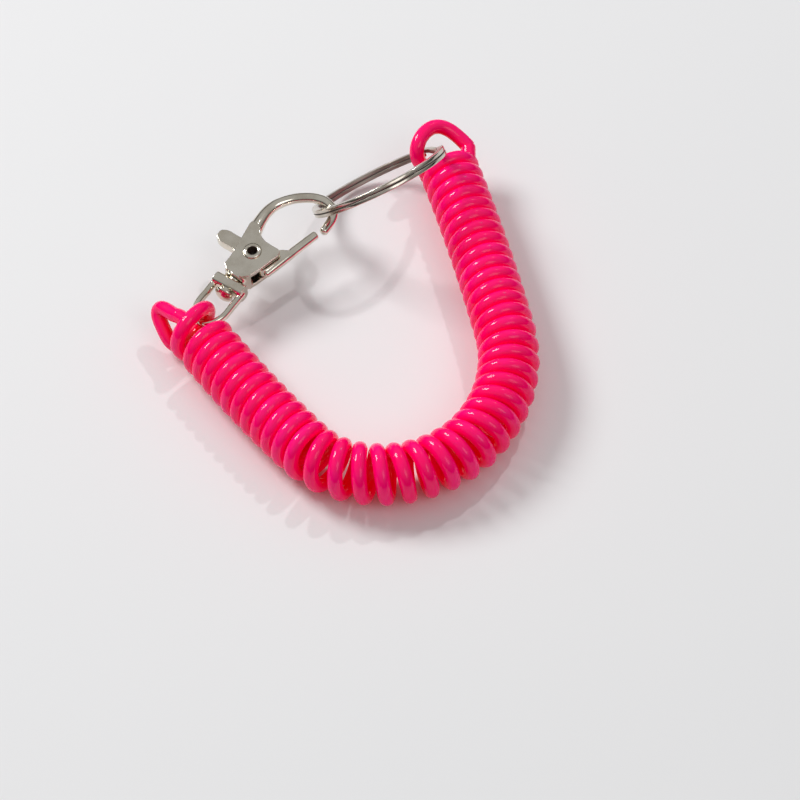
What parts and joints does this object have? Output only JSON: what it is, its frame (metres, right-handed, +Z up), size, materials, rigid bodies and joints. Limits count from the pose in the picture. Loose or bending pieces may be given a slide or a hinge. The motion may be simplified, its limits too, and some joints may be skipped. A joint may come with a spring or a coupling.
{
  "type": "spiral coil key chain",
  "caption": "Stretchy spiral plastic cord bent into a U, with a swivel trigger clasp on one end clipped to a split ring on the other.",
  "frame": {"origin": "centre of the bounding box, on the table that the coil lies on", "axes": "+Z up from the table; +Y from the bend of the U towards its open end, where the clasp and the ring are; +X from the clasp's side to the ring's side"},
  "size_m": [0.0724, 0.0819, 0.0223],
  "materials": {
    "cord_plastic": "bright pink glossy soft plastic cord, slightly translucent",
    "clasp_nickel": "die-cast clasp with bright, slightly warm nickel plating",
    "ring_steel": "nickel-plated flattened spring steel wire",
    "spring_steel": "bare spring steel wire"
  },
  "bodies": {
    "root": {"coil_body": "cord_plastic"},
    "coil_ends": {"clasp_end_loop": "cord_plastic", "ring_end_loop": "cord_plastic"},
    "eye": {"swivel_eye": "clasp_nickel"},
    "hook": {"clasp_hook": "clasp_nickel", "pivot_rivet": "clasp_nickel", "gate_spring": "spring_steel"},
    "lever": {"trigger_lever": "clasp_nickel"},
    "ring": {"split_ring": "ring_steel"}
  },
  "joints": [
    {"name": "coil_stretch", "type": "slide", "parent": "root", "child": "coil_ends", "axis": [0, 1, 0], "range_m": [0, 0.06], "stiffness_N_per_m": 20, "deforming": ["coil_body"]},
    {"name": "eye_swing", "type": "hinge", "parent": "coil_ends", "child": "eye", "pos_m": [-0.0255, 0.01334, 0.006], "axis": [0, 0, 1], "range_deg": [-1.5, 0]},
    {"name": "clasp_swivel", "type": "hinge", "parent": "eye", "child": "hook", "pos_m": [-0.01887, 0.01786, 0.0074], "axis": [0.7928, 0.5996, 0.1097], "range_deg": [-1, 5]},
    {"name": "trigger_pivot", "type": "hinge", "parent": "hook", "child": "lever", "pos_m": [-0.01364, 0.02182, 0.00812], "axis": [-0.0875, -0.0662, 0.994], "range_deg": [0, 28], "stiffness_Nm_per_rad": 0.03, "springref_deg": -17.19, "deforming": ["gate_spring"]},
    {"name": "ring_swing", "type": "hinge", "parent": "coil_ends", "child": "ring", "pos_m": [0.01473, 0.03016, 0.0113], "axis": [0.95, 0.3123, 0], "range_deg": [0, 4]}
  ]
}
